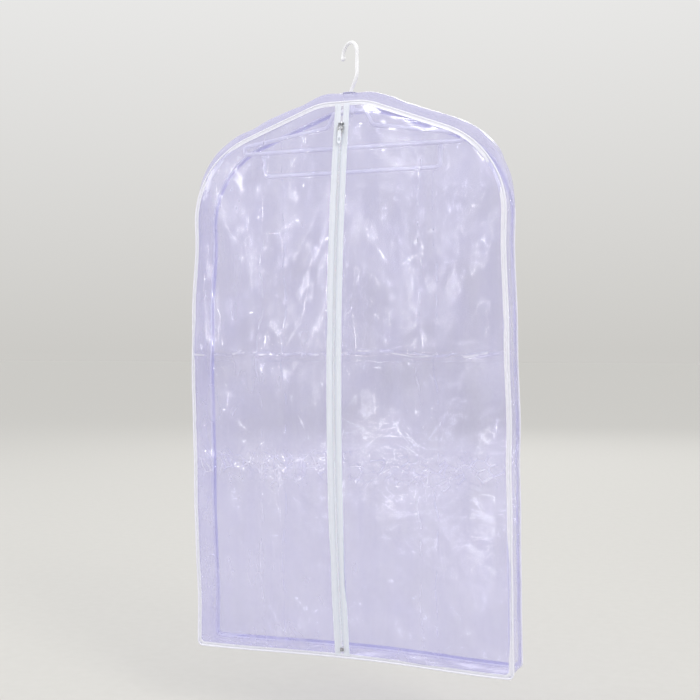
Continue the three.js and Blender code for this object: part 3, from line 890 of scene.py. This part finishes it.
def stitches(line, normal):
    """A row of stitches along a line of points, standing on the cloth towards normal."""
    along = lengths_along(line)
    starts = np.arange(STITCH_PITCH / 2, along[-1] - STITCH_PITCH, STITCH_PITCH)
    start = np.stack([np.interp(starts, along, column) for column in line.T], axis=1)
    end = np.stack([np.interp(starts + STITCH, along, column) for column in line.T], axis=1)
    ahead = end - start
    ahead /= np.linalg.norm(ahead, axis=1)[:, None]
    normal = np.broadcast_to(normal, ahead.shape)
    side = np.cross(ahead, normal)
    square = [side, normal, -side, -normal]
    points = [start - normal * 0.5 * STITCH_RADIUS]
    for share in (0.25, 0.75):
        centre = start + ahead * share * STITCH + normal * 0.9 * STITCH_RADIUS
        points += [centre + corner * STITCH_RADIUS for corner in square]
    points.append(start + ahead * STITCH - normal * 0.5 * STITCH_RADIUS)
    points = np.stack(points, axis=1)
    one = [(0, 1, 2), (0, 2, 3), (0, 3, 4), (0, 4, 1)]
    one += [(1, 5, 6, 2), (2, 6, 7, 3), (3, 7, 8, 4), (4, 8, 5, 1)]
    one += [(9, 6, 5), (9, 7, 6), (9, 8, 7), (9, 5, 8)]
    faces = [[corner + 10 * i for corner in face] for i in range(len(points)) for face in one]
    points = points.reshape(-1, 3)
    return points, faces, points[:, [0, 2]]


def flange(y_of, out):
    """The piping's flat edge, sewn on the panel just inside the seam."""
    lines = [ring_line(-inset * MM, y_of, FLANGE_STEP) for inset, _ in FLANGE_PROFILE]
    count = min(len(line) for line in lines)
    lines = [resampled(np.concatenate([line, line[:1]]), count + 1)[:-1] for line in lines]
    raised = [line + (0, out * rise * MM, 0) for line, (_, rise) in zip(lines, FLANGE_PROFILE)]
    points = np.stack(raised, axis=1).reshape(-1, 3)
    across = np.array([inset - FLANGE_PROFILE[0][0] for inset, _ in FLANGE_PROFILE]) * MM
    uv = np.stack(np.meshgrid(across, there_and_back(count, FLANGE_STEP)), axis=-1).reshape(-1, 2)
    return points, grid_faces(count, len(lines), closed_rows=True).tolist(), uv


def piping_piece(name, y, y_of, out):
    """The cord in the seam with its flat edge."""
    cord = np.insert(seam_ring(0, PIPING_STEP), 1, y, axis=1)
    round_part = tube(cord, PIPING / 2 - 0.1 * MM, PIPING_SIDES, closed=True)
    points, faces, uv = joined([round_part, flange(y_of, out)])
    return mesh_piece(name, points, faces, VINYL, uv)


def flange_stitches(name, y_of, out):
    """The row of stitches that holds the piping's flat edge."""
    line = ring_line(-STITCH_INSET, y_of, STITCH_STEP) + (0, out * 1.0 * MM, 0)
    points, faces, uv = stitches(np.concatenate([line, line[:1]]), (0.0, float(out), 0.0))
    return mesh_piece(name, points, faces, THREAD, uv)


front_piping = piping_piece("front_piping", FRONT_Y, front_y, -1)
back_piping = piping_piece("back_piping", BACK_Y, back_y, 1)
front_stitching = flange_stitches("front_stitching", front_y, -1)
back_stitching = flange_stitches("back_stitching", back_y, 1)

for piece in [
    front_right, front_left, back_film, gusset,
    front_piping, back_piping, front_stitching, back_stitching,
]:
    hang(piece)

# ---- Zip ----


def zip_tape(name, side):
    """One woven tape, its edges turned a little under."""
    across, lift = np.array(TAPE_PROFILE).T * MM
    z = np.linspace(tape_high[2], tape_low[2], 180)
    x, height = np.meshgrid(across, z)
    y = FRONT_Y - bow(0, height) - 0.5 * MM - lift[None] + 0.12 * MM * np.sin(height * 900)
    points = np.stack([side * x, y, height], axis=-1).reshape(-1, 3)
    uv = np.stack([x, height], axis=-1).reshape(-1, 2)
    faces = grid_faces(len(z), len(across))
    piece = mesh_piece(name, points, faces if side > 0 else faces[:, ::-1], TAPE, uv)
    solid = piece.modifiers.new("thickness", "SOLIDIFY")
    solid.thickness = TAPE_THICKNESS
    return subdivide(piece)


def zip_coil(name, side):
    """One half of the nylon coil: a flattened helix whose turns reach between the other half's."""
    top, bottom = coil_high[2], coil_low[2]
    turns = int((top - bottom) / COIL_PITCH)
    angle = np.linspace(0, 2 * math.pi * turns, turns * 9) + (0 if side > 0 else math.pi)
    z = top - COIL_PITCH * angle / (2 * math.pi)
    x = COIL_MIDDLE[0] + COIL_REACH[0] * np.cos(angle)
    y = FRONT_Y - bow(0, z) - COIL_MIDDLE[1] + COIL_REACH[1] * np.sin(angle)
    points, faces, uv = tube(np.stack([side * x, y, z], axis=1), COIL_WIRE, 5)
    return mesh_piece(name, points, faces, NYLON, uv)


def zip_stitching(name, side):
    """The two rows of stitches that hold a tape to the film."""
    z = np.linspace(tape_high[2] - 2 * MM, tape_low[2] + 2 * MM, 300)
    rows = []
    for share in TAPE_ROWS:
        x = TAPE_INNER + share * (TAPE_OUTER - TAPE_INNER)
        line = np.stack([np.full_like(z, side * x), FRONT_Y - bow(0, z) - 1.75 * MM, z], axis=1)
        rows.append(stitches(line, (0.0, -1.0, 0.0)))
    points, faces, uv = joined(rows)
    return mesh_piece(name, points, faces, THREAD, uv)


def top_stop(name, side):
    """A metal clip crimped round the end of one coil half."""
    low, high = (np.array(corner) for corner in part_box(f"zip_top_stop_{side}"))
    centre, half = (low + high) / 2, (high - low) / 2
    turn = np.linspace(0, 2 * math.pi, STOP_SIDES, endpoint=False)
    square = np.stack([np.cos(turn), np.sin(turn)], axis=1)
    square = np.sign(square) * np.sqrt(np.abs(square))
    points = []
    for height, girth in STOP_PROFILE:
        points += [centre + half * (girth * x, girth * y, height) for x, y in square]
    faces = grid_faces(len(STOP_PROFILE), STOP_SIDES, closed_columns=True).tolist()
    return mesh_piece(name, points, faces + end_caps(len(STOP_PROFILE), STOP_SIDES), METAL)


SIDES = {"right": 1, "left": -1}
tapes = {side: zip_tape(f"zip_tape_cloth_{side}", sign) for side, sign in SIDES.items()}
coils = {side: zip_coil(f"zip_coil_nylon_{side}", sign) for side, sign in SIDES.items()}
tape_stitching = {side: zip_stitching(f"zip_stitching_{side}", sign) for side, sign in SIDES.items()}
top_stops = {side: top_stop(f"top_stop_clip_{side}", side) for side in SIDES}

# ---- Hook and hanger ----


def moulded(name, parts, voxel):
    """Tubes and turned parts melted into one moulding with filleted joints."""
    points, faces, _ = joined(parts)
    piece = mesh_piece(name, points, faces, PLASTIC)
    remesh = piece.modifiers.new("melt", "REMESH")
    remesh.mode = "VOXEL"
    remesh.voxel_size = voxel
    remesh.use_smooth_shade = True
    relax = piece.modifiers.new("fillet", "SMOOTH")
    relax.factor = 0.5
    relax.iterations = 5
    return apply_modifiers(piece)


def turned_points(profile, sides):
    """Rings about the Z axis, one for each [radius, z] of the profile."""
    turn = np.linspace(0, 2 * math.pi, sides, endpoint=False)
    return np.array([(r * math.cos(a), r * math.sin(a), z) for r, z in profile for a in turn])


def turned(profile):
    """A closed body turned about the Z axis from [radius, z] points."""
    points = turned_points(profile, TURNED_SIDES)
    faces = grid_faces(len(profile), TURNED_SIDES, closed_columns=True).tolist()
    return points, faces + end_caps(len(profile), TURNED_SIDES), points[:, :2]


def bezier(a, b, c, d):
    """A cubic curve from a to d."""
    t = np.linspace(0, 1, 40)[:, None]
    a, b, c, d = (np.array(point) for point in (a, b, c, d))
    return (1 - t) ** 3 * a + 3 * (1 - t) ** 2 * t * b + 3 * (1 - t) * t**2 * c + t**3 * d


def rounded(corners, radius):
    """A line through [x, z] corners in the plane y = 0, with each corner eased over radius."""
    corners = np.array(corners, float)
    t = np.linspace(0, 1, 9)[:, None]
    line = [corners[0]]
    for before, corner, after in zip(corners, corners[1:], corners[2:]):
        start = corner + (before - corner) / np.linalg.norm(before - corner) * radius
        end = corner + (after - corner) / np.linalg.norm(after - corner) * radius
        line += list((1 - t) ** 2 * start + 2 * (1 - t) * t * corner + t**2 * end)
    line.append(corners[-1])
    line = np.insert(np.array(line), 1, 0, axis=1)
    return resampled(line, round(lengths_along(line)[-1] / BAR_STEP))


def hook_piece():
    """The hook: beaded tip, crown, shank swept back to the axis, stem, flange and snap head."""
    reach = HOOK_INNER + HOOK_ROD
    crown = arc((0, -HOOK_INNER), reach, HOOK_TIP, 0, 60)
    shank = bezier(*[(share * reach, z) for share, z in HOOK_SHANK])
    path = np.concatenate([crown, shank, [(0, BOSS_BOTTOM - 5 * MM)]])
    path = resampled(np.insert(path, 1, 0, axis=1), 190)
    bead, bead_half, swelling = HOOK_BEAD
    radius = HOOK_ROD * (1 + swelling * np.exp(-(((lengths_along(path) - bead) / bead_half) ** 2)))
    radius[0] = HOOK_ROD * 0.55
    flange_part = turned([(r * MM, BOSS_TOP + z * MM) for r, z in HOOK_FLANGE])
    head = turned([(r * MM, BOSS_BOTTOM + z * MM) for r, z in HOOK_HEAD])
    piece = moulded("hook_moulding", [tube(path, radius, 16), flange_part, head], HOOK_VOXEL)
    piece.rotation_euler.z = HOOK_TURN
    return piece


def hanger_arm(side):
    """An arm with its strap notch and rounded end, and its half of the upper bar."""
    corners = [
        (0, ARM_Z),
        (ARM_LEVEL, ARM_Z),
        (NOTCH_X, ARM_Z - NOTCH_DROP),
        (HANGER_HALF, UPPER_BAR_Z + END_RISE),
        (HANGER_HALF, UPPER_BAR_Z),
        (-2 * MM, UPPER_BAR_Z),
    ]
    return tube(rounded(corners, END_RADIUS) * (side, 1, 1), ROD, 12)


def hanger_piece():
    """Boss, arms, rounded ends and the upper trouser bar in one moulding."""
    braces = [tube([(side * x, 0, z) for x, z in BRACE], BRACE_RADIUS, 8) for side in (1, -1)]
    parts = [turned(BOSS_PROFILE), hanger_arm(1), hanger_arm(-1), *braces]
    return moulded("hanger_moulding", parts, HANGER_VOXEL)


def drop_bar_piece():
    """The lower trouser bar with its two links."""
    top = UPPER_BAR_Z - ROD - 0.3 * MM
    corners = [(-DROP_HALF, top), (-DROP_HALF, LOWER_BAR_Z), (DROP_HALF, LOWER_BAR_Z), (DROP_HALF, top)]
    bar = tube(rounded(corners, LOWER_BAR_RADIUS), ROD * 0.96, 12)
    radius, height = LINK_FOOT
    feet = [tube([(x, 0, top - height), (x, 0, top)], radius, 12) for x in (DROP_HALF, -DROP_HALF)]
    return moulded("drop_bar_moulding", [bar, *feet], HANGER_VOXEL)


def eyelet_piece():
    """A rolled two-part grommet round the hook's hole."""
    inner, outer, neck = EYELET_INNER, EYELET_HIGH[0], HOOK_HOLE - 0.4 * MM
    low, high = EYELET_LOW[2], EYELET_HIGH[2]
    profile = [
        (inner, low + 0.6 * MM),
        (inner + 0.8 * MM, low),
        (outer - 0.8 * MM, low),
        (outer, low + 0.7 * MM),
        (outer - 0.7 * MM, low + 1.5 * MM),
        (neck, low + 1.7 * MM),
        (neck, high - 1.9 * MM),
        (outer - 0.7 * MM, high - 1.5 * MM),
        (outer, high - 0.7 * MM),
        (outer - 0.9 * MM, high),
        (inner + 0.9 * MM, high),
        (inner, high - 0.8 * MM),
    ]
    points = turned_points(profile, EYELET_SIDES)
    faces = grid_faces(len(profile), EYELET_SIDES, closed_rows=True, closed_columns=True)
    return subdivide(mesh_piece("eyelet_ring", points, faces, VINYL, points[:, :2]))


hook = hook_piece()
hanger = hanger_piece()
drop_bar = drop_bar_piece()
eyelet = eyelet_piece()

# ---- CAD nodes that stay: the zip's metal ----

for name in ["zip_slider", "zip_pull", "zip_bottom_stop"]:
    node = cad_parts[name]
    node.data.materials.clear()
    node.data.materials.append(LACQUER if name == "zip_pull" else METAL)
    node.modifiers.new("weld", "WELD").merge_threshold = 0.01 * MM
    bevel = node.modifiers.new("edges", "BEVEL")
    bevel.width = EDGE_BEVEL
    bevel.segments = 3
    bevel.limit_method = "ANGLE"
    bevel.angle_limit = math.radians(30)
    bevel.use_clamp_overlap = True
    bevel.harden_normals = True

# ---- Riding, and hiding the CAD parts that are replaced ----


def open_with(piece):
    """Bakes a front piece's placement into its mesh."""
    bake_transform(piece)
    x, _, z = coordinates(piece.data).T


for side, film in [("right", front_right), ("left", front_left)]:
    for piece, slot in [
        (film, "film"),
        (tapes[side], "zip_tape"),
        (coils[side], "zip_coil"),
        (tape_stitching[side], "zip_tape"),
        (top_stops[side], "zip_metal"),
    ]:
        open_with(piece)
    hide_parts(f"front_panel_{side}")
    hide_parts(f"zip_tape_{side}")
    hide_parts(f"zip_coil_{side}")
    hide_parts(f"zip_top_stop_{side}")

for piece, slot in [
    (back_film, "film"),
    (gusset, "film"),
    (front_piping, "piping"),
    (back_piping, "piping"),
    (front_stitching, "piping"),
    (back_stitching, "piping"),
    (eyelet, "piping"),
    (hanger, "hanger_plastic"),
    (drop_bar, "hanger_plastic"),
]:
    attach(piece, "bag")
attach(hook, "hook")

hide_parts("back_panel")
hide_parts("gusset_left", "gusset_right", "bottom_panel")
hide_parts("piping_front_left", "piping_front_right")
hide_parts("piping_back_left", "piping_back_right")
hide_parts("hook_eyelet")
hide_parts("hook")
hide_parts("hanger_frame")
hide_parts("hanger_drop_bar")

# ---- Floor ----

floor_corners = [(x, y, FLOOR_Z) for x in (-FLOOR_HALF, FLOOR_HALF) for y in (-FLOOR_HALF, FLOOR_HALF)]
floor = mesh_piece("floor", floor_corners, [(0, 2, 3, 1)], floor_material())

bpy.context.view_layer.update()
